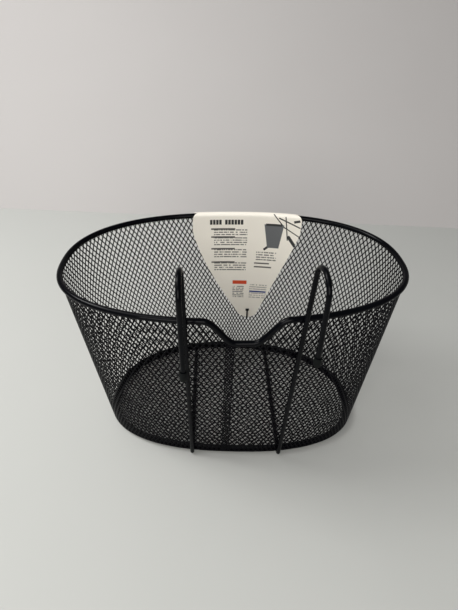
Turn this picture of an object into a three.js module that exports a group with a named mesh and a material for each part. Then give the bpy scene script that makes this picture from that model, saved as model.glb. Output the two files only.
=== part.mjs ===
// Wire-mesh handlebar basket: an oval basket of expanded-metal mesh between a rim hoop and a
// base ring, with two hook rods that run under the base, up the near wall and over the
// handlebar, and a folded cardboard hang card tied to the far wall.
// Millimetres, +Z up. The handlebar is on the -Y side and the card on the +Y side.
// The mesh is plain sheet here: its outer shape, its opening and its thickness are the real ones.
import * as THREE from 'three';

// ---- Driving dimensions -------------------------------------------------------------------

const GAP = 0.3; // between pieces that are welded or lie against each other

// Plan outlines: each is a superellipse whose near half and far half differ in depth and power.
// RIM is the middle of the rim wire, and BASE the outer face of the wall at its foot, which is
// turned a little about the vertical, in degrees, because the basket is slightly twisted.
const RIM = {
  centreX: 0, halfWidth: 172, near: 92.7, far: 109, nearPower: 2.33, farPower: 2.38, turn: 0,
};
const BASE = {
  centreX: 0.4, halfWidth: 149.9, near: 81.3, far: 104.5, nearPower: 2.45, farPower: 2.18, turn: -2.9,
};

const RIM_HEIGHT = 209.5; // centre of the rim wire above the ground
const RIM_WIRE = 6;
const RING_WIRE = 4.5;
const ROD_WIRE = 4.5;
const SHEET = 0.9; // thickness of the mesh
const HEM = 8; // width of the wall's lower edge, which is turned in under the base panel

// The dip in the near side of the rim, which clears the handlebar stem.
const DIP = { centreX: 7.7, depth: 27, halfFlat: 8, halfWidth: 38 };

// Each hook rod: where it stands under the base and where it passes the rim, the height at which
// its crown begins, the crown's radius and turn about the vertical, and where its tip ends.
const HOOKS = {
  left: { footX: -46.8, rimX: -45.9, crownZ: 259, crownRadius: 17, turn: 0, tipZ: 183 },
  right: { footX: 51.7, rimX: 58.6, crownZ: 259, crownRadius: 16, turn: 5.3, tipZ: 193 },
};
const FOOT_BEND = 5; // centreline radius where a rod turns up from the ground
const ROD_STAND_OFF = 1; // extra room that the foot bend needs outside the wall

const TIP = { length: 9, wall: 0.8 }; // vinyl caps on the free ends of the rods

// The hang card: a shield of cardboard folded over the far side of the rim.
const CARD = {
  centreX: 20,
  lean: 0.035, // sideways travel for each millimetre down, because the card hangs a little askew
  halfWidth: 65,
  drop: 152, // from the fold to the tip
  back: 62, // length of the panel behind the wall
  thickness: 0.8,
  shoulder: 0.12,
  tipShare: 0.14,
  flankPower: 1.28,
  roundedShare: 0.04, // share of the drop over which the tip is rounded
  rounding: 0.65, // share of the tip's width that the rounding takes away
};
const TIE = { height: 69, headWidth: 5, headHeight: 3, tailWidth: 2, tailLength: 13, thickness: 1.2 };

// ---- Outlines and the wall surface --------------------------------------------------------

const SHEET_FLOOR = ROD_WIRE + GAP; // underside of the hem and foot of the wall, on the rods
const PANEL_FLOOR = SHEET_FLOOR + SHEET + GAP; // underside of the base panel, on the hem
const RING_HEIGHT = PANEL_FLOOR + SHEET + GAP + RING_WIRE / 2; // the ring lies on the panel
const RING_INSET = SHEET + GAP + RING_WIRE / 2; // from the wall's outer face to the ring's middle
const ANGLE_HALVINGS = 40;
const HOOP_SEGMENTS = 96;
const HOOP_SAMPLES = 1440; // used to space the segments evenly along a hoop
const WIRE_SIDES = 8;
const TIP_SIDES = 16;
const BEND_STEPS = 5;
const CROWN_STEPS = 11; // odd, so that a flat facet lies level at the top of the crown
const CARD_STEPS = { across: 10, front: 16, fold: 6, back: 5 };

function signedPower(value, power) {
  return Math.sign(value) * Math.abs(value) ** power;
}

// Point of a plan outline at an angle, with the far side (+Y) at 90 degrees.
function outlinePoint(outline, angle) {
  const isFar = Math.sin(angle) > 0;
  const power = 2 / (isFar ? outline.farPower : outline.nearPower);
  const depth = isFar ? outline.far : outline.near;
  const point = new THREE.Vector2(
    outline.halfWidth * signedPower(Math.cos(angle), power),
    depth * signedPower(Math.sin(angle), power),
  );
  point.rotateAround(new THREE.Vector2(0, 0), THREE.MathUtils.degToRad(outline.turn));
  point.x += outline.centreX;
  return point;
}

// Y of an outline's near or far side at a given X, found by halving the range of angles.
function sideY(outline, x, isFar) {
  let below = Math.PI;
  let above = isFar ? 0 : 2 * Math.PI;
  for (let i = 0; i < ANGLE_HALVINGS; i += 1) {
    const middle = (below + above) / 2;
    if (outlinePoint(outline, middle).x < x) below = middle;
    else above = middle;
  }
  return outlinePoint(outline, below).y;
}

// The same point moved outwards along the outline's normal; a negative distance moves it inwards.
function offsetPoint(outline, angle, distance) {
  const step = 0.01;
  const tangent = outlinePoint(outline, angle + step).sub(outlinePoint(outline, angle - step));
  const outward = new THREE.Vector2(tangent.y, -tangent.x).normalize();
  return outlinePoint(outline, angle).addScaledVector(outward, distance);
}

// Drop of the rim below its full height: flat at the middle of the dip, with S-shaped shoulders.
function dipDepth(x, y) {
  const distance = Math.abs(x - DIP.centreX);
  if (y > 0 || distance > DIP.halfWidth) return 0;
  const along = Math.max(0, distance - DIP.halfFlat) / (DIP.halfWidth - DIP.halfFlat);
  return DIP.depth * (1 + Math.cos(Math.PI * along)) / 2;
}

// Middle of the wall sheet at an angle and height: a straight line from the base to the rim.
function wallPoint(angle, height, outward = 0) {
  const foot = offsetPoint(BASE, angle, outward - SHEET / 2);
  const head = offsetPoint(RIM, angle, outward);
  const rise = (height - SHEET_FLOOR) / (RIM_HEIGHT - SHEET_FLOOR);
  const plan = foot.lerp(head, rise);
  return new THREE.Vector3(plan.x, plan.y, height);
}

function rimPoint(angle) {
  const plan = outlinePoint(RIM, angle);
  return wallPoint(angle, RIM_HEIGHT - dipDepth(plan.x, plan.y));
}

// Height of the wall's top edge, square below the rim wire even where the dip's shoulders slope.
function wallTop(angle) {
  const step = 0.01;
  const run = rimPoint(angle + step).sub(rimPoint(angle - step));
  const slope = run.z / Math.hypot(run.x, run.y);
  return rimPoint(angle).z - (RIM_WIRE / 2 + 2 * GAP) * Math.hypot(1, slope);
}

function ringPoint(angle) {
  const plan = offsetPoint(BASE, angle, -RING_INSET);
  return new THREE.Vector3(plan.x, plan.y, RING_HEIGHT);
}

// ---- Curves -------------------------------------------------------------------------------

// A closed hoop given by its point at each angle.
class HoopCurve extends THREE.Curve {
  constructor(pointAtAngle) {
    super();
    this.pointAtAngle = pointAtAngle;
    this.arcLengthDivisions = HOOP_SAMPLES;
  }

  getPoint(t) {
    return this.pointAtAngle(2 * Math.PI * t);
  }
}

// A wire bent from straights and arcs, whose cross-sections stand only where its stations are.
class BentWire extends THREE.Curve {
  constructor(stations) {
    super();
    this.stations = stations;
  }

  getUtoTmapping(u) {
    return u;
  }

  getPoint(t) {
    const place = t * (this.stations.length - 1);
    const index = Math.min(Math.floor(place), this.stations.length - 2);
    return this.stations[index].clone().lerp(this.stations[index + 1], place - index);
  }

  getTangent(t) {
    const index = Math.round(t * (this.stations.length - 1));
    const here = this.stations[index];
    const before = this.stations[index - 1];
    const after = this.stations[index + 1];
    const tangent = new THREE.Vector3();
    if (before) tangent.add(here.clone().sub(before).normalize());
    if (after) tangent.add(after.clone().sub(here).normalize());
    return tangent.normalize();
  }
}

// Stations of an arc that rounds the corner between two straights.
function cornerArc(before, corner, after, radius, steps) {
  const incoming = corner.clone().sub(before).normalize();
  const outgoing = after.clone().sub(corner).normalize();
  const turn = incoming.angleTo(outgoing);
  const start = corner.clone().addScaledVector(incoming, -radius * Math.tan(turn / 2));
  const inward = outgoing.clone().addScaledVector(incoming, -Math.cos(turn)).normalize();
  const stations = [];
  for (let i = 0; i <= steps; i += 1) {
    const angle = turn * i / steps;
    const station = start.clone().addScaledVector(incoming, radius * Math.sin(angle));
    stations.push(station.addScaledVector(inward, radius * (1 - Math.cos(angle))));
  }
  return stations;
}

// ---- Meshes -------------------------------------------------------------------------------

const basket = new THREE.Group();
const blackCoat = { color: 0x17181a, roughness: 0.42, metalness: 0.0 };
const blackVinyl = { color: 0x151916, roughness: 0.6, metalness: 0.0 };
const whiteCard = { color: 0xe4e2dc, roughness: 0.7, metalness: 0.0 };

function addPiece(name, geometry, finish) {
  const piece = new THREE.Mesh(geometry, new THREE.MeshStandardMaterial(finish));
  piece.name = name;
  basket.add(piece);
  return piece;
}

function hoopGeometry(curve, wire) {
  return new THREE.TubeGeometry(curve, HOOP_SEGMENTS, wire / 2, WIRE_SIDES, true);
}

// A regular section with a flat side facing each of its two axes.
function wireSection(wire) {
  const corners = [];
  for (let i = 0; i < WIRE_SIDES; i += 1) {
    const angle = 2 * Math.PI * (i + 0.5) / WIRE_SIDES;
    corners.push(new THREE.Vector2(Math.cos(angle), Math.sin(angle)).multiplyScalar(wire / 2));
  }
  return new THREE.Shape(corners);
}

// A turned ring or dish whose every vertex is then moved: place(angle, column) gives its point.
function wrappedGeometry(columns, curve, place) {
  const profile = columns.map((column) => new THREE.Vector2(column.radius, column.lift));
  const geometry = new THREE.LatheGeometry(profile, HOOP_SEGMENTS);
  const position = geometry.getAttribute('position');
  for (let v = 0; v < position.count; v += 1) {
    const sector = Math.floor(v / columns.length) % HOOP_SEGMENTS;
    const angle = 2 * Math.PI * curve.getUtoTmapping(sector / HOOP_SEGMENTS);
    const point = place(angle, columns[v % columns.length]);
    position.setXYZ(v, point.x, point.y, point.z);
  }
  return geometry;
}

const rimCurve = new HoopCurve(rimPoint);
const ringCurve = new HoopCurve(ringPoint);

addPiece('rim_hoop', hoopGeometry(rimCurve, RIM_WIRE), blackCoat);
addPiece('base_ring', hoopGeometry(ringCurve, RING_WIRE), blackCoat);

// Wall: from the floor sheet's underside up to the rim wire, following the dip.
function wallGeometry() {
  const half = SHEET / 2;
  const section = [
    { radius: 2, lift: 0, outward: half, rise: 0 },
    { radius: 2, lift: 1, outward: half, rise: 0.5 },
    { radius: 2, lift: 2, outward: half, rise: 1 },
    { radius: 1, lift: 2, outward: -half, rise: 1 },
    { radius: 1, lift: 1, outward: -half, rise: 0.5 },
    { radius: 1, lift: 0, outward: -half, rise: 0 },
  ];
  const closed = [...section, section[0]];
  return wrappedGeometry(closed, rimCurve, (angle, column) => {
    const height = THREE.MathUtils.lerp(SHEET_FLOOR, wallTop(angle), column.rise);
    return wallPoint(angle, height, column.outward);
  });
}

addPiece('wall_mesh', wallGeometry(), blackCoat);

// Point of a flat sheet inside the foot of the wall; inset null is the middle of the basket.
function floorPoint(angle, column) {
  if (column.inset === null) return new THREE.Vector3(BASE.centreX, 0, column.height);
  const plan = offsetPoint(BASE, angle, -(SHEET + GAP + column.inset));
  return new THREE.Vector3(plan.x, plan.y, column.height);
}

// Hem: the wall's lower edge, turned in under the base panel and lying on the two rods.
const hemSection = [
  { radius: 1, lift: 0, inset: HEM, height: SHEET_FLOOR },
  { radius: 2, lift: 0, inset: 0, height: SHEET_FLOOR },
  { radius: 2, lift: 1, inset: 0, height: SHEET_FLOOR + SHEET },
  { radius: 1, lift: 1, inset: HEM, height: SHEET_FLOOR + SHEET },
];
const hemLoop = [...hemSection, hemSection[0]];
addPiece('wall_hem', wrappedGeometry(hemLoop, ringCurve, floorPoint), blackCoat);

// Base panel: flat mesh between the hem and the base ring.
const panelSection = [
  { radius: 0, lift: 0, inset: null, height: PANEL_FLOOR },
  { radius: 1, lift: 0, inset: 0, height: PANEL_FLOOR },
  { radius: 1, lift: 1, inset: 0, height: PANEL_FLOOR + SHEET },
  { radius: 0, lift: 1, inset: null, height: PANEL_FLOOR + SHEET },
];
addPiece('base_mesh', wrappedGeometry(panelSection, ringCurve, floorPoint), blackCoat);

// ---- Hook rods ----------------------------------------------------------------------------

function hookStations(hook) {
  const ground = ROD_WIRE / 2;
  const footY = sideY(BASE, hook.footX, false) - GAP - ROD_WIRE / 2 - ROD_STAND_OFF;
  const rimY = sideY(RIM, hook.rimX, false) - RIM_WIRE / 2 - GAP - ROD_WIRE / 2;
  const heel = new THREE.Vector3(hook.footX, footY, ground);
  const passing = new THREE.Vector3(hook.rimX, rimY, RIM_HEIGHT);
  const reach = (hook.crownZ - ground) / (RIM_HEIGHT - ground);
  const crownStart = heel.clone().lerp(passing, reach);
  const farEnd = new THREE.Vector3(hook.footX, sideY(BASE, hook.footX, true) - HEM / 2, ground);

  const stations = [farEnd, ...cornerArc(farEnd, heel, crownStart, FOOT_BEND, BEND_STEPS)];
  const turn = THREE.MathUtils.degToRad(hook.turn);
  const away = new THREE.Vector3(Math.sin(turn), -Math.cos(turn), 0);
  for (let i = 0; i <= CROWN_STEPS; i += 1) {
    const angle = Math.PI * i / CROWN_STEPS;
    const station = crownStart.clone();
    station.addScaledVector(away, hook.crownRadius * (1 - Math.cos(angle)));
    station.z += hook.crownRadius * Math.sin(angle);
    stations.push(station);
  }
  const freeEnd = stations[stations.length - 1].clone();
  freeEnd.z = hook.tipZ + TIP.wall + GAP;
  stations.push(freeEnd);
  return stations;
}

function tipGeometry() {
  const inner = ROD_WIRE / 2 + GAP;
  const outer = inner + TIP.wall;
  const profile = [
    new THREE.Vector2(0, 0),
    new THREE.Vector2(outer, 0),
    new THREE.Vector2(outer, TIP.length),
    new THREE.Vector2(inner, TIP.length),
    new THREE.Vector2(inner, TIP.wall),
    new THREE.Vector2(0, TIP.wall),
  ];
  return new THREE.LatheGeometry(profile, TIP_SIDES).rotateX(Math.PI / 2);
}

for (const [side, hook] of Object.entries(HOOKS)) {
  const stations = hookStations(hook);
  const rod = new THREE.ExtrudeGeometry(wireSection(ROD_WIRE), {
    steps: stations.length - 1,
    extrudePath: new BentWire(stations),
  });
  addPiece(`hook_rod_${side}`, rod, blackCoat);
  const tip = addPiece(`hook_tip_${side}`, tipGeometry(), blackVinyl);
  const freeEnd = stations[stations.length - 1];
  tip.position.set(freeEnd.x, freeEnd.y, hook.tipZ);
}

// ---- Hang card and its tie ----------------------------------------------------------------

// Half the card's width at a distance below its fold: square shoulders over the first eighth,
// flanks that curve in towards the point, and a rounded tip.
function cardHalfWidth(below) {
  const share = Math.min(1, below / CARD.drop);
  const { shoulder, tipShare, flankPower, roundedShare } = CARD;
  const flank = Math.max(0, (share - shoulder) / (1 - shoulder)) ** flankPower;
  const intoTip = Math.min(1, Math.max(0, 1 - (1 - share) / roundedShare));
  const kept = 1 - CARD.rounding * (1 - Math.sqrt(1 - intoTip ** 2));
  return CARD.halfWidth * (1 - (1 - tipShare) * flank) * kept;
}

// Front face of the card at a plan position X and height: it clears the rim wire at the top and
// meets the wall at the tip.
function cardFrontY(x, height) {
  const rimClear = sideY(RIM, x, true) - RIM_WIRE / 2 - GAP - CARD.thickness;
  const tipHeight = RIM_HEIGHT - CARD.drop;
  const rise = (tipHeight - SHEET_FLOOR) / (RIM_HEIGHT - SHEET_FLOOR);
  const wallFoot = sideY(BASE, x, true) - SHEET;
  const wallTop = sideY(RIM, x, true) - SHEET / 2;
  const wallClear = THREE.MathUtils.lerp(wallFoot, wallTop, rise) - 2 * GAP - CARD.thickness;
  return THREE.MathUtils.mapLinear(height, tipHeight, RIM_HEIGHT, wallClear, rimClear);
}

// Point of the card: along is measured over the fold, negative down the front panel and positive
// down the back one; depth runs through the board from its inner face (0) to its outer face (1).
function cardPoint(across, along, depth) {
  const foldRadius = RIM_WIRE / 2 + GAP + CARD.thickness * depth;
  const foldLength = Math.PI * (RIM_WIRE / 2 + GAP);
  const below = along < 0 ? -along : Math.max(0, along - foldLength);
  const x = CARD.centreX + across * cardHalfWidth(below) + CARD.lean * below;
  const rimY = sideY(RIM, x, true);
  if (along < 0) {
    const height = RIM_HEIGHT - below;
    return new THREE.Vector3(x, cardFrontY(x, height) + CARD.thickness * (1 - depth), height);
  }
  if (along <= foldLength) {
    const angle = Math.PI * along / foldLength;
    const height = RIM_HEIGHT + foldRadius * Math.sin(angle);
    return new THREE.Vector3(x, rimY - foldRadius * Math.cos(angle), height);
  }
  return new THREE.Vector3(x, rimY + foldRadius, RIM_HEIGHT - below);
}

function cardGeometry() {
  const foldLength = Math.PI * (RIM_WIRE / 2 + GAP);
  const { across, front, fold, back } = CARD_STEPS;
  const rows = front + fold + back;
  const geometry = new THREE.BoxGeometry(2, rows, 1, across, rows, 1);
  const position = geometry.getAttribute('position');
  for (let v = 0; v < position.count; v += 1) {
    const row = Math.round(position.getY(v) + rows / 2);
    let along = -CARD.drop * (1 - row / front);
    if (row > front) along = foldLength * (row - front) / fold;
    if (row > front + fold) along = foldLength + CARD.back * (row - front - fold) / back;
    const point = cardPoint(position.getX(v), along, position.getZ(v) + 0.5);
    position.setXYZ(v, point.x, point.y, point.z);
  }
  return geometry;
}

addPiece('hang_card', cardGeometry(), whiteCard);

// Tie: a small head on the card with its tail hanging down.
function tieGeometry() {
  const outline = new THREE.Shape();
  outline.moveTo(-TIE.tailWidth / 2, -TIE.tailLength);
  outline.lineTo(TIE.tailWidth / 2, -TIE.tailLength);
  outline.lineTo(TIE.tailWidth / 2, 0);
  outline.lineTo(TIE.headWidth / 2, 0);
  outline.lineTo(TIE.headWidth / 2, TIE.headHeight);
  outline.lineTo(-TIE.headWidth / 2, TIE.headHeight);
  outline.lineTo(-TIE.headWidth / 2, 0);
  outline.lineTo(-TIE.tailWidth / 2, 0);
  return new THREE.ExtrudeGeometry(outline, { depth: TIE.thickness, bevelEnabled: false });
}

const tie = addPiece('card_tie', tieGeometry(), blackVinyl);
const tieX = CARD.centreX + CARD.lean * (RIM_HEIGHT - TIE.height);
const tieTop = cardFrontY(tieX, TIE.height);
const tieFoot = cardFrontY(tieX, TIE.height - TIE.tailLength);
tie.rotation.x = Math.PI / 2 - Math.atan2(tieTop - tieFoot, TIE.tailLength);
tie.position.set(tieX, tieTop - GAP, TIE.height);

// ---- Frame: the origin is under the middle of the whole basket, at ground level -----------

basket.updateMatrixWorld(true);
const extent = new THREE.Box3().setFromObject(basket);
const middle = extent.getCenter(new THREE.Vector3());
basket.position.set(-middle.x, -middle.y, -extent.min.z);

export default basket;
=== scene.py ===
"""Wire-mesh handlebar basket: smooth wires, open diamond mesh and a printed hang card,
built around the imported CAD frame."""

import bisect
import math

import bmesh
import bpy
from mathutils import Matrix, Vector


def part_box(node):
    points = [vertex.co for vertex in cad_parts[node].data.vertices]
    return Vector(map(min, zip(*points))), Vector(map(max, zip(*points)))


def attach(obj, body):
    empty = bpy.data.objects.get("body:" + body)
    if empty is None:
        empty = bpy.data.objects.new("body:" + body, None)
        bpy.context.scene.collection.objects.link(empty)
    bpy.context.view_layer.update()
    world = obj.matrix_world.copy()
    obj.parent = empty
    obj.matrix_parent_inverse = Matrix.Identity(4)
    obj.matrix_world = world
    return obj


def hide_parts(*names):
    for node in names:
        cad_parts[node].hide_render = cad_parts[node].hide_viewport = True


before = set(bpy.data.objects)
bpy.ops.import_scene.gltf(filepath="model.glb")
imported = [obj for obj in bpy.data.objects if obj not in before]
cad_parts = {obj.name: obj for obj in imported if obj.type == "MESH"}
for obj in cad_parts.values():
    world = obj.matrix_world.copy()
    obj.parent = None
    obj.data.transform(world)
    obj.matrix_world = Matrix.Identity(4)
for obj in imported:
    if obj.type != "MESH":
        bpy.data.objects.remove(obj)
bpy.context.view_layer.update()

# ---- Sizes, in metres ---------------------------------------------------------------------

MM = 0.001
RIM_WIRE = 6 * MM
RING_WIRE = 4.5 * MM
ROD_WIRE = 4.5 * MM
SHEET = 0.6 * MM  # thickness of the wall's expanded mesh
BASE_SHEET = 0.4 * MM
GAP = 0.3 * MM
HEM = 8 * MM  # the wall's lower edge, turned in under the base panel
DIP_DEPTH, DIP_FLAT, DIP_REACH = 27 * MM, 8 * MM, 38 * MM
DIP_X = 7.7 * MM
SEAM_X = -5.7 * MM  # middle of the wall's lapped seam

WALL_CELL = (5.75 * MM, 9.5 * MM)  # width and height of one diamond in the wall
BASE_CELL = (10.3 * MM, 4.5 * MM)
WALL_STRAND, BASE_STRAND = 1.15 * MM, 0.85 * MM  # width of a strand of the mesh
STRAND_TILT = 0.12 * MM  # how far the strands' edges stand out of the sheet

CARD_X, CARD_LEAN, CARD_HALF_WIDTH = 20 * MM, 0.035, 65 * MM
CARD_DROP, CARD_BACK, CARD_THICKNESS = 152 * MM, 62 * MM, 0.7 * MM
CARD_BOW = 3.5 * MM  # how far the card's middle line bows to the left
CARD_CORNER = 9 * MM  # rounding of its edges where it folds over the rim
CARD_SHOULDER = 0.12  # share of the drop before the flanks draw in
CARD_FLANK_POWER = 1.22
CARD_NARROWING = 0.86  # share of the width that the flanks take away
CARD_POINT_FROM, CARD_POINT_ROUNDING = 0.96, 0.65
CARD_ROWS = (48, 12, 12)  # rows of faces in the front, the fold and the back

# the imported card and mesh, which are a little thicker than the ones made here
FRAME_CARD, FRAME_SHEET = 0.8 * MM, 0.9 * MM

# X of the foot and at the rim, radius of the crown and its turn outwards
HOOKS = {
    "left": (-46.8 * MM, -45.9 * MM, 16.6 * MM, 0.0),
    "right": (51.7 * MM, 58.6 * MM, 16 * MM, math.radians(5.3)),
}
FOOT_BEND = 5 * MM
TIP_WALL, TIP_FOOT_ROUND, TIP_LIP_ROUND = 0.8 * MM, 1.4 * MM, 0.25 * MM

TIE_WIDTH, TIE_THICKNESS = 2 * MM, 1.0 * MM
TIE_HEAD, TIE_NECK, TIE_ROUND = 3 * MM, 0.4 * MM, 0.18 * MM

rim_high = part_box("rim_hoop")[1]
ring_low, ring_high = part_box("base_ring")
panel_low, panel_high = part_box("base_mesh")

RIM_FAR = 109 * MM
MIDDLE_Y = rim_high.y - RIM_WIRE / 2 - RIM_FAR  # the line that parts the near and far halves
RIM_HEIGHT = rim_high.z - RIM_WIRE / 2
RING_HEIGHT = (ring_low.z + ring_high.z) / 2
FLOOR_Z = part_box("wall_hem")[0].z  # foot of the wall

BACKDROP_Y = 0.53  # where the table meets the backdrop
BACKDROP_LEAN, BACKDROP_TURN = math.radians(35), math.radians(-5.7)
CAMERA_PLACE = Vector((-0.020, MIDDLE_Y - 0.3938, 0.4581))
CAMERA_YAW, CAMERA_PITCH, CAMERA_ROLL = 2.28, 37.44, 0.95  # degrees
LENS, SENSOR = 26.97, 36
# place, aim, width and height, power and colour of each lamp
LAMPS = (
    ((-0.85, 0.12, 1.05), (-0.15, 0.05, 0.0), (0.4, 0.4), 6.1, (1.0, 0.995, 0.98)),
    ((-1.0, 0.0, 1.6), (-0.2, 0.0, 0.0), (1.6, 1.4), 15.5, (1.0, 0.995, 0.985)),
    ((-0.3, -1.5, 0.9), (0.0, 0.15, 0.2), (1.4, 1.0), 18, (1.0, 0.98, 0.95)),
)
WORLD_STRENGTH = 0.15


class Outline:
    """A superellipse in plan, with its own depth and power on the near and the far side."""

    def __init__(self, centre_x, half_width, near, far, near_power, far_power, turn=0.0):
        self.centre = Vector((centre_x, MIDDLE_Y))
        self.half_width = half_width
        self.near, self.far = near, far
        self.near_power, self.far_power = near_power, far_power
        self.turn = Matrix.Rotation(math.radians(turn), 2)

    def point(self, angle):
        far_side = math.sin(angle) > 0
        power = 2 / (self.far_power if far_side else self.near_power)
        depth = self.far if far_side else self.near
        x = math.copysign(abs(math.cos(angle)) ** power, math.cos(angle))
        y = math.copysign(abs(math.sin(angle)) ** power, math.sin(angle))
        return self.centre + self.turn @ Vector((self.half_width * x, depth * y))

    def offset(self, angle, distance):
        tangent = self.point(angle + 0.01) - self.point(angle - 0.01)
        outward = Vector((tangent.y, -tangent.x)).normalized()
        return self.point(angle) + outward * distance

    def side_y(self, x, far_side):
        """Y of the near or the far side at x, found by halving the range of angles."""
        below, above = math.pi, 0.0 if far_side else 2 * math.pi
        for _ in range(40):
            middle = (below + above) / 2
            if self.point(middle).x < x:
                below = middle
            else:
                above = middle
        return self.point(below).y


# the middle of the rim wire, and the outer face of the wall at its foot
rim = Outline(0.0, 172 * MM, 92.7 * MM, RIM_FAR, 2.33, 2.38)
base = Outline(0.4 * MM, 149.9 * MM, 79.3 * MM, 104.5 * MM, 2.45, 2.18, -2.9)


def dip_depth(x):
    reach = abs(x - DIP_X)
    if reach > DIP_REACH:
        return 0.0
    along = max(0.0, reach - DIP_FLAT) / (DIP_REACH - DIP_FLAT)
    return DIP_DEPTH * (1 + math.cos(math.pi * along)) / 2


def wall_point(angle, height, outward=0.0):
    foot = base.offset(angle, outward - SHEET / 2)
    head = rim.offset(angle, outward)
    rise = (height - FLOOR_Z) / (RIM_HEIGHT - FLOOR_Z)
    plan = foot.lerp(head, rise)
    return Vector((plan.x, plan.y, height))


def rim_point(angle):
    plan = rim.point(angle)
    dip = dip_depth(plan.x) if plan.y < MIDDLE_Y else 0.0
    return wall_point(angle, RIM_HEIGHT - dip)


class RimLength:
    """Turns a distance along the rim, counted from the wall's seam, into the outline's angle."""

    def __init__(self, samples=2880):
        seam_share = (SEAM_X - rim.centre.x) / rim.half_width
        tilt = math.copysign(abs(seam_share) ** (rim.near_power / 2), seam_share)
        start = -math.acos(tilt)
        self.angles = [start + 2 * math.pi * i / samples for i in range(samples + 1)]
        points = [rim.point(angle) for angle in self.angles]
        self.lengths = [0.0]
        for before, after in zip(points, points[1:]):
            self.lengths.append(self.lengths[-1] + (after - before).length)
        self.total = self.lengths[-1]

    def angle(self, length):
        length %= self.total
        i = min(bisect.bisect_right(self.lengths, length), len(self.lengths) - 1)
        span = self.lengths[i] - self.lengths[i - 1]
        share = (length - self.lengths[i - 1]) / span
        return self.angles[i - 1] + share * (self.angles[i] - self.angles[i - 1])


rim_length = RimLength()

# ---- Shader maths -------------------------------------------------------------------------


class Link:
    """A shader socket: arithmetic on it adds Math nodes, and add() adds any other node."""

    def __init__(self, tree, socket=None):
        self.tree = tree
        self.socket = socket

    def add(self, kind, settings=None, inputs=None, output=0):
        node = self.tree.nodes.new(kind)
        for name, value in (settings or {}).items():
            setattr(node, name, value)
        for name, value in (inputs or {}).items():
            if isinstance(value, Link):
                self.tree.links.new(value.socket, node.inputs[name])
            else:
                node.inputs[name].default_value = value
        return Link(self.tree, node.outputs[output] if node.outputs else None)

    def math(self, operation, first, second=0.0):
        return self.add("ShaderNodeMath", {"operation": operation}, {0: first, 1: second})

    def __add__(self, other):
        return self.math("ADD", self, other)

    __radd__ = __add__

    def __sub__(self, other):
        return self.math("SUBTRACT", self, other)

    def __rsub__(self, other):
        return self.math("SUBTRACT", other, self)

    def __mul__(self, other):
        return self.math("MULTIPLY", self, other)

    __rmul__ = __mul__

    def __gt__(self, other):
        return self.math("GREATER_THAN", self, other)

    def __lt__(self, other):
        return self.math("LESS_THAN", self, other)

    def noise(self, place, scale, detail=3.0, roughness=0.5):
        sizes = {"Vector": place, "Scale": scale, "Detail": detail, "Roughness": roughness}
        return self.add("ShaderNodeTexNoise", None, sizes)

    def mix(self, factor, first, second):
        sockets = {0: factor, 6: first, 7: second}
        return self.add("ShaderNodeMix", {"data_type": "RGBA"}, sockets, 2)


def new_material(name):
    """A material with an empty surface: returns it, its tree's Link and its object place."""
    material = bpy.data.materials.new(name)
    material.use_nodes = True
    tree = material.node_tree
    tree.nodes.clear()
    shade = Link(tree)
    place = shade.add("ShaderNodeTexCoord", output="Object")
    return material, shade, place


def finish_surface(shade, sockets):
    surface = shade.add("ShaderNodeBsdfPrincipled", None, sockets)
    shade.add("ShaderNodeOutputMaterial", None, {"Surface": surface})


def rgb(red, green, blue):
    return (red, green, blue, 1.0)


def powder_coat(name, dark, light, roughness, sheen, gloss):
    """Satin black powder coat: a fine orange peel, and a sheen that varies from place to place."""
    material, shade, place = new_material(name)
    cloud = shade.noise(place, 55.0)
    peel = shade.noise(place, 1400.0, 2.0)
    colour = shade.mix(cloud, dark, light)
    bump = shade.add(
        "ShaderNodeBump", None, {"Strength": 0.25, "Distance": 0.00012, "Height": peel}
    )
    finish_surface(
        shade,
        {
            "Base Color": colour,
            "Roughness": roughness + (cloud - 0.5) * 0.18,
            "Specular IOR Level": sheen,
            "Coat Weight": gloss * (0.8 + cloud * 0.4),
            "Coat Roughness": 0.09,
            "Normal": bump,
        },
    )
    return material


def vinyl(name):
    material, shade, place = new_material(name)
    cloud = shade.noise(place, 180.0)
    colour = shade.mix(cloud, rgb(0.002, 0.003, 0.003), rgb(0.004, 0.005, 0.005))
    bump = shade.add(
        "ShaderNodeBump", None, {"Strength": 0.3, "Distance": 0.0001, "Height": cloud}
    )
    finish_surface(
        shade,
        {
            "Base Color": colour,
            "Roughness": 0.5 + cloud * 0.15,
            "Specular IOR Level": 0.1,
            "Normal": bump,
        },
    )
    return material


# ---- Modelling helpers --------------------------------------------------------------------


def deselect():
    bpy.ops.object.select_all(action="DESELECT")


def only(piece):
    deselect()
    piece.select_set(True)
    bpy.context.view_layer.objects.active = piece


def begin_edit(piece):
    only(piece)
    bpy.ops.object.mode_set(mode="EDIT")
    return bmesh.from_edit_mesh(piece.data)


def end_edit():
    bpy.ops.object.mode_set(mode="OBJECT")


def set_place(piece):
    """Puts the piece's place, turn and size into its mesh."""
    only(piece)
    bpy.ops.object.transform_apply(location=True, rotation=True, scale=True)


def select_faces(mesh, wanted):
    """Selects the faces for which wanted(face) is true, and nothing else."""
    for face in mesh.faces:
        face.select_set(False)
    for edge in mesh.edges:
        edge.select_set(False)
    for vertex in mesh.verts:
        vertex.select_set(False)
    for face in mesh.faces:
        if wanted(face):
            face.select_set(True)


def outward_normals(piece):
    begin_edit(piece)
    bpy.ops.mesh.select_all(action="SELECT")
    bpy.ops.mesh.normals_make_consistent(inside=False)
    end_edit()


def finish_piece(piece, name, material, slot, *nodes, smooth_angle=35):
    piece.name = name
    piece.data.name = name
    piece.data.materials.clear()
    piece.data.materials.append(material)
    only(piece)
    bpy.ops.object.shade_smooth_by_angle(angle=math.radians(smooth_angle))
    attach(piece, "root")
    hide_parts(*nodes)
    return piece


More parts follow.
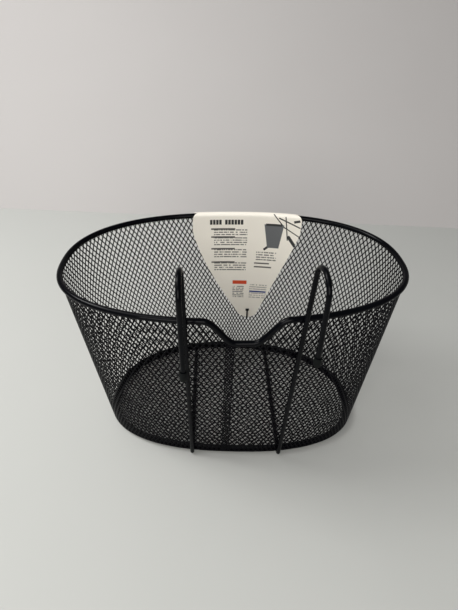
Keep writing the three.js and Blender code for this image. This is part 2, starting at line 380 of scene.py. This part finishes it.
def wire_piece(points, wire, closed):
    """A round wire along points: a path drawn as a curve, given its thickness, made a mesh."""
    deselect()
    bpy.ops.curve.primitive_nurbs_path_add()
    piece = bpy.context.object
    curve = piece.data
    curve.splines.clear()
    spline = curve.splines.new("POLY")
    spline.points.add(len(points) - 1)
    for station, point in zip(spline.points, points):
        station.co = (*point, 1.0)
    spline.use_cyclic_u = closed
    curve.dimensions = "3D"
    curve.twist_mode = "MINIMUM"
    curve.bevel_depth = wire / 2
    curve.bevel_resolution = 6
    curve.use_fill_caps = not closed
    only(piece)
    bpy.ops.object.convert(target="MESH")
    piece = bpy.context.object
    set_place(piece)
    begin_edit(piece)
    bpy.ops.mesh.select_all(action="SELECT")
    bpy.ops.mesh.remove_doubles(threshold=0.000001)
    bpy.ops.mesh.normals_make_consistent(inside=False)
    end_edit()
    return piece


# ---- Camera, light and floor --------------------------------------------------------------


def make_camera():
    yaw, pitch, roll = map(math.radians, (CAMERA_YAW, CAMERA_PITCH, CAMERA_ROLL))
    turn = (
        Matrix.Rotation(-yaw, 3, "Z")
        @ Matrix.Rotation(math.pi / 2 - pitch, 3, "X")
        @ Matrix.Rotation(roll, 3, "Z")
    )
    deselect()
    bpy.ops.object.camera_add(location=CAMERA_PLACE, rotation=turn.to_euler())
    camera = bpy.context.object
    camera.data.lens = LENS
    camera.data.sensor_width = SENSOR
    camera.data.dof.use_dof = False
    bpy.context.scene.camera = camera


def area_light(place, target, size, power, colour):
    deselect()
    aim = (Vector(target) - Vector(place)).to_track_quat("-Z", "Y").to_euler()
    bpy.ops.object.light_add(type="AREA", location=place, rotation=aim)
    lamp = bpy.context.object.data
    lamp.shape = "RECTANGLE"
    lamp.size, lamp.size_y = size
    lamp.energy = power
    lamp.color = colour


def make_light():
    for lamp in LAMPS:
        area_light(*lamp)
    world = bpy.data.worlds.new("studio")
    bpy.context.scene.world = world
    world.use_nodes = True
    background = world.node_tree.nodes["Background"]
    background.inputs["Color"].default_value = rgb(0.97, 0.98, 1.0)
    background.inputs["Strength"].default_value = WORLD_STRENGTH
    bpy.context.scene.view_settings.view_transform = "Standard"


def stage_material(name, dark, light):
    material, shade, place = new_material(name)
    colour = shade.mix(shade.noise(place, 5.0), dark, light)
    finish_surface(shade, {"Base Color": colour, "Roughness": 0.75})
    return material


def make_stage():
    """A pale table top, and a backdrop behind it, a little skew to the basket, that leans back
    far enough to leave room for a camera behind the basket."""
    deselect()
    bpy.ops.mesh.primitive_plane_add(size=6, location=(0, -2, 0))
    floor = bpy.context.object
    floor.name = "floor"
    floor.data.materials.append(
        stage_material("pale_floor", rgb(0.555, 0.565, 0.54), rgb(0.58, 0.585, 0.56))
    )
    set_place(floor)
    deselect()
    up = Vector((0, math.sin(BACKDROP_LEAN), math.cos(BACKDROP_LEAN)))
    up.rotate(Matrix.Rotation(BACKDROP_TURN, 3, "Z"))
    bpy.ops.mesh.primitive_plane_add(
        size=6,
        location=Vector((0, BACKDROP_Y, 0)) + up * 2.9,
        rotation=(math.pi / 2 - BACKDROP_LEAN, 0, BACKDROP_TURN),
    )
    backdrop = bpy.context.object
    backdrop.name = "back_wall"
    backdrop.data.materials.append(
        stage_material("pale_wall", rgb(0.515, 0.495, 0.485), rgb(0.54, 0.52, 0.51))
    )
    set_place(backdrop)


# ---- Expanded mesh ------------------------------------------------------------------------


def diamond_sheet(width, height, columns, rows):
    """A flat sheet from (0, 0) to (width, height) whose faces are upright diamonds: a grid whose
    every square is poked, and whose square edges are then dissolved."""
    deselect()
    bpy.ops.mesh.primitive_grid_add(
        x_subdivisions=columns, y_subdivisions=rows, size=1, location=(0.5, 0.5, 0)
    )
    sheet = bpy.context.object
    sheet.scale = (width, height, 1)
    sheet.location = (width / 2, height / 2, 0)
    set_place(sheet)
    begin_edit(sheet)
    bpy.ops.mesh.select_all(action="SELECT")
    bpy.ops.mesh.poke()
    mesh = bmesh.from_edit_mesh(sheet.data)
    for face in mesh.faces:
        face.select_set(False)
    small = min(width, height) * 1e-5
    for edge in mesh.edges:
        along = edge.verts[1].co - edge.verts[0].co
        square = abs(along.x) < small or abs(along.y) < small
        edge.select_set(square and len(edge.link_faces) == 2)
    bpy.ops.mesh.dissolve_edges(use_verts=False, use_face_split=False)
    end_edit()
    return sheet


def face_over(face, x0, x1):
    spread = [vertex.co.x for vertex in face.verts]
    return max(spread) > x0 and min(spread) < x1


def trim_above(sheet, outline):
    """Cuts the flat sheet along an outline of (x, y) points and removes what lies above it."""
    for (x0, y0), (x1, y1) in zip(outline, outline[1:]):
        mesh = begin_edit(sheet)
        select_faces(mesh, lambda f: face_over(f, x0, x1))
        normal = Vector((y0 - y1, x1 - x0, 0)).normalized()
        bpy.ops.mesh.bisect(
            plane_co=(x0, y0, 0), plane_no=normal, clear_outer=True, threshold=0.00001
        )
        end_edit()


def crease(sheet, y):
    """Cuts the flat sheet straight across, so that it folds along a strand."""
    begin_edit(sheet)
    bpy.ops.mesh.select_all(action="SELECT")
    bpy.ops.mesh.bisect(plane_co=(0, y, 0), plane_no=(0, 1, 0))
    end_edit()


def open_diamonds(piece, strand, tilt_axis, floor):
    """Insets each face above floor to leave strands, tips the strands and removes the middles."""
    mesh = begin_edit(piece)
    smallest = (2.6 * strand) ** 2 * 0.5
    select_faces(
        mesh, lambda f: f.calc_area() > smallest and f.calc_center_median().z > floor
    )
    bpy.ops.mesh.inset(thickness=strand / 2, use_individual=True, use_even_offset=True)
    mesh = bmesh.from_edit_mesh(piece.data)
    for face in mesh.faces:
        if not face.select:
            continue
        centre = face.calc_center_median()
        reach = max(MM, *(abs((v.co - centre).dot(tilt_axis)) for v in face.verts))
        for vertex in face.verts:
            share = (vertex.co - centre).dot(tilt_axis) / reach
            vertex.co += face.normal * STRAND_TILT * share
    bpy.ops.mesh.delete(type="ONLY_FACE")
    end_edit()


def thicken(piece, thickness):
    only(piece)
    solid = piece.modifiers.new("thickness", "SOLIDIFY")
    solid.thickness = thickness
    solid.offset = 0
    bpy.ops.object.modifier_apply(modifier=solid.name)


def make_wall(material):
    """The wall: a strip of mesh closed by a lapped seam, whose foot is turned in as a hem."""
    lap = 1.5  # cells; the half puts the two layers of the seam out of step
    columns = round(rim_length.total / WALL_CELL[0] + lap)
    cell = rim_length.total / (columns - lap)
    top = RIM_HEIGHT - RIM_WIRE * 0.15 - FLOOR_Z
    rows = round(top / WALL_CELL[1])
    row = top / rows
    sheet = diamond_sheet(columns * cell, top + row, columns, rows + 1)

    # the dip, as the rim's own line in the flat sheet, over 100 mm of rim from 45 mm before the seam
    steps, span, before = 40, 100, 45
    start = -lap / 2 * cell
    for turn in (0, 1):
        line = []
        for i in range(steps + 1):
            length = turn * rim_length.total + (i / steps * span - before) * MM
            plan = rim.point(rim_length.angle(length))
            line.append((length - start, top + row - dip_depth(plan.x)))
        line = [point for point in line if -cell < point[0] < (columns + 1) * cell]
        trim_above(sheet, line)
    crease(sheet, row)

    mesh = begin_edit(sheet)
    for vertex in mesh.verts:
        length = vertex.co.x + start
        past_seam = length - (rim_length.total - lap / 2 * cell)
        inward = SHEET * 1.15 * min(1.0, max(0.0, past_seam / cell))
        angle = rim_length.angle(length)
        height = vertex.co.y - row
        turned_in = max(0.0, -height) * HEM / row
        lift = max(SHEET / 2, height)
        vertex.co = wall_point(angle, FLOOR_Z + lift, -inward - turned_in)
    end_edit()
    open_diamonds(sheet, WALL_STRAND, Vector((0, 0, 1)), FLOOR_Z + SHEET)
    thicken(sheet, SHEET)
    return finish_piece(
        sheet, "wall_expanded_mesh", material, "mesh_coat", "wall_mesh", "wall_hem"
    )


def make_base(material):
    low, high = panel_low, panel_high
    width, depth = high.x - low.x + 2 * BASE_CELL[0], high.y - low.y + 2 * BASE_CELL[0]
    columns, rows = round(width / BASE_CELL[0]), round(depth / BASE_CELL[1])
    sheet = diamond_sheet(width, depth, columns, rows)
    floor = (low.z + high.z) / 2
    sheet.location = (low.x - BASE_CELL[0], low.y - BASE_CELL[0], floor)
    set_place(sheet)
    begin_edit(sheet)
    corners = 72
    for i in range(corners):
        angle = 2 * math.pi * (i + 0.5) / corners
        edge = base.offset(angle, -SHEET - 2 * GAP)
        normal = base.offset(angle, 1.0) - base.offset(angle, 0.0)
        bpy.ops.mesh.select_all(action="SELECT")
        bpy.ops.mesh.bisect(
            plane_co=(edge.x, edge.y, 0), plane_no=(normal.x, normal.y, 0), clear_outer=True
        )
    end_edit()
    open_diamonds(sheet, BASE_STRAND, Vector((0, 1, 0)), 0.0)
    thicken(sheet, BASE_SHEET)
    return finish_piece(sheet, "base_expanded_mesh", material, "mesh_coat", "base_mesh")


# ---- Wires --------------------------------------------------------------------------------


def make_hoops(material):
    count = 300
    angles = [rim_length.angle(rim_length.total * i / count) for i in range(count)]
    hoop = wire_piece([rim_point(angle) for angle in angles], RIM_WIRE, True)
    finish_piece(hoop, "rim_wire", material, "black_coat", "rim_hoop")
    inset = RING_WIRE / 2 + SHEET + 2 * GAP
    points = []
    for angle in angles:
        plan = base.offset(angle, -inset)
        points.append(Vector((plan.x, plan.y, RING_HEIGHT)))
    hoop = wire_piece(points, RING_WIRE, True)
    finish_piece(hoop, "base_ring_wire", material, "black_coat", "base_ring")


def arc(start, incoming, inward, radius, turn, steps):
    points = []
    for i in range(steps + 1):
        angle = turn * i / steps
        forward = incoming * (radius * math.sin(angle))
        points.append(start + forward + inward * (radius * (1 - math.cos(angle))))
    return points


def hook_points(foot_x, rim_x, crown_z, crown_radius, turn, tip_z):
    ground = ROD_WIRE / 2
    foot_y = base.side_y(foot_x, False) - GAP - ROD_WIRE / 2
    rim_y = rim.side_y(rim_x, False) - RIM_WIRE / 2 - GAP - ROD_WIRE / 2
    heel = Vector((foot_x, foot_y, ground))
    passing = Vector((rim_x, rim_y, RIM_HEIGHT))
    crown = heel.lerp(passing, (crown_z - ground) / (RIM_HEIGHT - ground))
    far_end = Vector((foot_x, base.side_y(foot_x, True) - HEM / 2, ground))
    back = (heel - far_end).normalized()
    rising = (crown - heel).normalized()
    bend = back.angle(rising)
    start = heel - back * (FOOT_BEND * math.tan(bend / 2))
    inward = (rising - back * math.cos(bend)).normalized()
    points = [far_end, *arc(start, back, inward, FOOT_BEND, bend, 12)]
    away = Vector((math.sin(turn), -math.cos(turn), 0))
    points += arc(crown, Vector((0, 0, 1)), away, crown_radius, math.pi, 36)
    points.append(Vector((points[-1].x, points[-1].y, tip_z)))
    return points


def make_hooks(coat, tip_material):
    for side, (foot_x, rim_x, crown_radius, turn) in HOOKS.items():
        tip_low, tip_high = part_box(f"hook_tip_{side}")
        crown_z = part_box(f"hook_rod_{side}")[1].z - ROD_WIRE / 2 - crown_radius
        end_z = tip_low.z + TIP_WALL + GAP
        path = hook_points(foot_x, rim_x, crown_z, crown_radius, turn, end_z)
        rod = wire_piece(path, ROD_WIRE, False)
        finish_piece(rod, f"hook_wire_{side}", coat, "black_coat", f"hook_rod_{side}")
        make_tip(side, path[-1], tip_low, tip_high, tip_material)


def make_tip(side, end, low, high, material):
    """A dipped cap: a cylinder with a rounded foot and a hollow pressed down into its top."""
    radius = ROD_WIRE / 2 + GAP + TIP_WALL
    length = high.z - low.z
    middle = (end.x, end.y, (low.z + high.z) / 2)
    deselect()
    bpy.ops.mesh.primitive_cylinder_add(vertices=32, radius=radius, depth=length, location=middle)
    cap = bpy.context.object
    set_place(cap)
    mesh = begin_edit(cap)
    select_faces(mesh, lambda f: f.normal.z < -0.9)
    bpy.ops.mesh.bevel(offset=TIP_FOOT_ROUND, segments=4, profile=0.5)
    mesh = bmesh.from_edit_mesh(cap.data)
    select_faces(mesh, lambda f: f.normal.z > 0.9)
    bpy.ops.mesh.bevel(offset=TIP_LIP_ROUND, segments=2, profile=0.5)
    mesh = bmesh.from_edit_mesh(cap.data)
    select_faces(mesh, lambda f: f.normal.z > 0.99 and f.calc_area() > radius**2)
    bpy.ops.mesh.inset(thickness=TIP_WALL - TIP_LIP_ROUND)
    bpy.ops.mesh.extrude_region_move(
        TRANSFORM_OT_translate={"value": (0, 0, -(length - TIP_WALL * 1.3))}
    )
    end_edit()
    finish_piece(cap, f"vinyl_tip_{side}", material, "tip_vinyl", f"hook_tip_{side}")


# ---- Hang card and its tie ----------------------------------------------------------------


def card_half_width(below):
    share = min(1.0, below / CARD_DROP)
    flank = max(0.0, (share - CARD_SHOULDER) / (1 - CARD_SHOULDER)) ** CARD_FLANK_POWER
    into_point = min(1.0, max(0.0, (share - CARD_POINT_FROM) / (1 - CARD_POINT_FROM)))
    kept = 1 - CARD_POINT_ROUNDING * (1 - math.sqrt(1 - into_point**2))
    return CARD_HALF_WIDTH * (1 - CARD_NARROWING * flank) * kept


def card_front_y(x, height):
    """Front face of the card: clear of the rim at the top, against the wall at the tip."""
    rim_clear = rim.side_y(x, True) - RIM_WIRE / 2 - GAP - FRAME_CARD
    tip_height = RIM_HEIGHT - CARD_DROP
    rise = (tip_height - FLOOR_Z) / (RIM_HEIGHT - FLOOR_Z)
    foot = base.side_y(x, True) - FRAME_SHEET
    head = rim.side_y(x, True) - FRAME_SHEET / 2
    wall_clear = foot + (head - foot) * rise - 2 * GAP - FRAME_CARD
    up = (height - tip_height) / CARD_DROP
    return wall_clear + (rim_clear - wall_clear) * up


def card_point(across, along):
    """Middle of the board; along is negative down the front and positive over to the back."""
    radius = RIM_WIRE / 2 + GAP + CARD_THICKNESS / 2
    fold = math.pi * radius
    below = -along if along < 0 else max(0.0, along - fold)
    bow = CARD_BOW * math.sin(math.pi * min(1.0, below / CARD_DROP))
    from_fold = min(CARD_CORNER, abs(along - fold / 2)) / CARD_CORNER
    rounding = CARD_CORNER * (1 - math.sqrt(1 - (1 - from_fold) ** 2))
    half_width = card_half_width(below) - rounding
    x = CARD_X + across * half_width + CARD_LEAN * below - bow
    rim_y = rim.side_y(x, True)
    if along < 0:
        height = RIM_HEIGHT - below
        return Vector((x, card_front_y(x, height) + FRAME_CARD / 2, height))
    if along <= fold:
        angle = along / radius
        round_rim = Vector((0, -radius * math.cos(angle), radius * math.sin(angle)))
        return Vector((x, rim_y, RIM_HEIGHT)) + round_rim
    return Vector((x, rim_y + radius, RIM_HEIGHT - below))


def make_card(material):
    """A flat grid laid down the inside of the wall, over the rim and down the outside. The faces
    that carry the print are marked."""
    deselect()
    rows, fold_rows, back_rows = CARD_ROWS
    bpy.ops.mesh.primitive_grid_add(
        x_subdivisions=24, y_subdivisions=rows + fold_rows + back_rows, size=2
    )
    card = bpy.context.object
    fold = math.pi * (RIM_WIRE / 2 + GAP + CARD_THICKNESS / 2)
    mesh = begin_edit(card)
    for vertex in mesh.verts:
        row = (vertex.co.y + 1) / 2 * (rows + fold_rows + back_rows)
        if row <= rows:
            along = -CARD_DROP * (1 - row / rows)
        elif row <= rows + fold_rows:
            along = fold * (row - rows) / fold_rows
        else:
            along = fold + CARD_BACK * (row - rows - fold_rows) / back_rows
        vertex.co = card_point(vertex.co.x, along)
    end_edit()
    thicken(card, CARD_THICKNESS)
    outward_normals(card)
    printed = card.data.attributes.new("printed_side", "FLOAT", "FACE")
    for face in card.data.polygons:
        printed.data[face.index].value = float(face.normal.y < -0.5)
    return finish_piece(card, "folded_card", material, "card_board", "hang_card")


class Layout:
    """Blocks of print on the card, in millimetres of the card's own width and height."""

    def __init__(self, shade, place):
        parts = shade.add("ShaderNodeSeparateXYZ", None, {"Vector": place})
        self.shade = shade
        self.x = parts * 1000
        self.z = Link(shade.tree, parts.socket.node.outputs[2]) * 1000
        side = shade.add("ShaderNodeAttribute", {"attribute_name": "printed_side"}, output="Fac")
        self.front = side > 0.5

    def block(self, left, right, bottom, top):
        across = (self.x > left) * (self.x < right)
        return across * (self.z > bottom) * (self.z < top) * self.front

    def words(self, left, right, bottom, top, rows, share, seed):
        """Rows of broken dark lines: plain strokes that stand for small print."""
        row = (self.z - bottom) * (rows / (top - bottom))
        line = self.shade.math("FRACT", row) < share
        number = self.shade.math("FLOOR", row) + seed
        place = {"X": self.x * 0.55, "Y": number * 3.7}
        spot = self.shade.add("ShaderNodeCombineXYZ", None, place)
        ink = self.shade.noise(spot, 1.0, 1.0) > 0.42
        return self.block(left, right, bottom, top) * line * ink

    def blocks(self, left, bottom, top, pitch, count):
        """A run of plain dark blocks in the heading."""
        share = self.shade.math("FRACT", (self.x - left) * (1 / pitch))
        return self.block(left, left + count * pitch, bottom, top) * (share < 0.8)

    def stroke(self, start, end, width):
        """A straight line of a drawing."""
        run = Vector(end) - Vector(start)
        x, z = self.x - start[0], self.z - start[1]
        along = (x * run.x + z * run.y) * (1 / run.length_squared)
        aside = self.shade.math("ABSOLUTE", (x * run.y - z * run.x) * (1 / run.length))
        return (along > 0) * (along < 1) * (aside < width / 2) * self.front

    def tub(self, centre, half_width, slope, bottom, top):
        """A basket in side view: a block that widens upwards."""
        aside = self.shade.math("ABSOLUTE", self.x - centre)
        sides = aside < half_width + (self.z - bottom) * slope
        return sides * self.block(centre - 40, centre + 40, bottom, top)


def card_picture(layout, shade, colour):
    """A small drawing of a basket on a handlebar."""
    grey, dark = rgb(0.13, 0.135, 0.14), rgb(0.03, 0.03, 0.03)
    strokes = [
        ((52, 213), (66, 196), 1.3),
        ((58, 209), (84, 198), 1.6),
        ((66, 211), (70, 180), 1.3),
        ((70, 186), (83, 168), 4.0),
        ((42, 165), (52, 174), 3.0),
        ((76, 205), (83, 207), 3.0),
        ((62, 199), (84, 186), 1.3),
    ]
    for start, end, width in strokes:
        colour = shade.mix(layout.stroke(start, end, width), colour, dark)
    colour = shade.mix(layout.tub(53, 7.0, 0.15, 168, 200), colour, grey)
    return shade.mix(layout.tub(53, 9.6, 0.15, 198, 201), colour, dark)


def card_material():
    material, shade, place = new_material("card_board")
    layout = Layout(shade, place)
    soft = shade.noise(place, 30.0)
    ink, small = rgb(0.025, 0.025, 0.025), rgb(0.07, 0.07, 0.07)
    colour = shade.mix(soft, rgb(0.94, 0.89, 0.79), rgb(0.96, 0.91, 0.81))
    colour = shade.mix(layout.blocks(-24.7, 198.8, 205.2, 3.7, 4), colour, ink)
    colour = shade.mix(layout.blocks(-6.5, 198.8, 205.2, 3.8, 6), colour, ink)
    groups = ((184.5, 194.0, 3), (170.5, 183.0, 4), (153.0, 166.5, 4), (133.5, 147.0, 4))
    for bottom, top, rows in groups:
        lines = layout.words(-20, 21, bottom, top, rows, 0.5, bottom)
        colour = shade.mix(lines * 0.85, colour, small)
        head = layout.block(-23.5, 6, top - 2.2, top)
        colour = shade.mix(head * 0.9, colour, ink)
    colour = shade.mix(layout.words(33, 58, 149.5, 163.5, 4, 0.5, 3.0) * 0.85, colour, small)
    colour = shade.mix(layout.block(31, 50, 144.0, 146.0) * 0.9, colour, ink)
    colour = shade.mix(layout.block(31, 53, 138.5, 140.5) * 0.9, colour, ink)
    colour = card_picture(layout, shade, colour)
    colour = shade.mix(layout.block(4, 22.5, 112.0, 117.6), colour, rgb(0.66, 0.07, 0.02))
    lines = layout.words(4, 19, 90.5, 110.0, 7, 0.55, 9.0)
    colour = shade.mix(lines * 0.8, colour, small)
    lines = layout.words(26, 49, 90.5, 114.0, 7, 0.45, 5.0)
    colour = shade.mix(lines * 0.6, colour, small)
    colour = shade.mix(layout.block(26.5, 48, 99.5, 102), colour, rgb(0.03, 0.05, 0.22))
    finish_surface(shade, {"Base Color": colour, "Roughness": 0.5, "Coat Weight": 0.1})
    return material


def make_tie(material):
    """A plastic tie: a tail that hangs down on the card, and a wider head at its top."""
    low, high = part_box("card_tie")
    middle = (low + high) / 2
    deselect()
    bpy.ops.mesh.primitive_cube_add(size=1, location=middle - Vector((0, 0, TIE_HEAD / 2)))
    tie = bpy.context.object
    tie.scale = (TIE_WIDTH, TIE_THICKNESS, high.z - low.z - TIE_HEAD)
    set_place(tie)
    mesh = begin_edit(tie)
    select_faces(mesh, lambda f: f.normal.z > 0.9)
    top = middle.x, middle.y, high.z
    bpy.ops.mesh.extrude_region_move(TRANSFORM_OT_translate={"value": (0, 0, TIE_NECK)})
    bpy.ops.transform.resize(value=(2.3, 1.3, 1), center_override=top)
    bpy.ops.mesh.extrude_region_move(
        TRANSFORM_OT_translate={"value": (0, 0, TIE_HEAD - TIE_NECK)}
    )
    bpy.ops.mesh.select_all(action="SELECT")
    bpy.ops.mesh.bevel(offset=TIE_ROUND, segments=2)
    end_edit()
    return finish_piece(tie, "plastic_tie", material, "tie_plastic", "card_tie")


# ---- Build --------------------------------------------------------------------------------

black_coat = powder_coat(
    "black_coat",
    dark=rgb(0.001, 0.0012, 0.002),
    light=rgb(0.002, 0.0023, 0.0035),
    roughness=0.26,
    sheen=0.03,
    gloss=0.13,
)
mesh_coat = powder_coat(
    "mesh_coat",
    dark=rgb(0.001, 0.001, 0.002),
    light=rgb(0.002, 0.002, 0.0035),
    roughness=0.34,
    sheen=0.03,
    gloss=0.06,
)
tip_vinyl = vinyl("tip_vinyl")
tie_plastic = vinyl("tie_plastic")

make_camera()
make_light()
make_stage()
make_hoops(black_coat)
make_hooks(black_coat, tip_vinyl)
make_wall(mesh_coat)
make_base(mesh_coat)
make_card(card_material())
make_tie(tie_plastic)
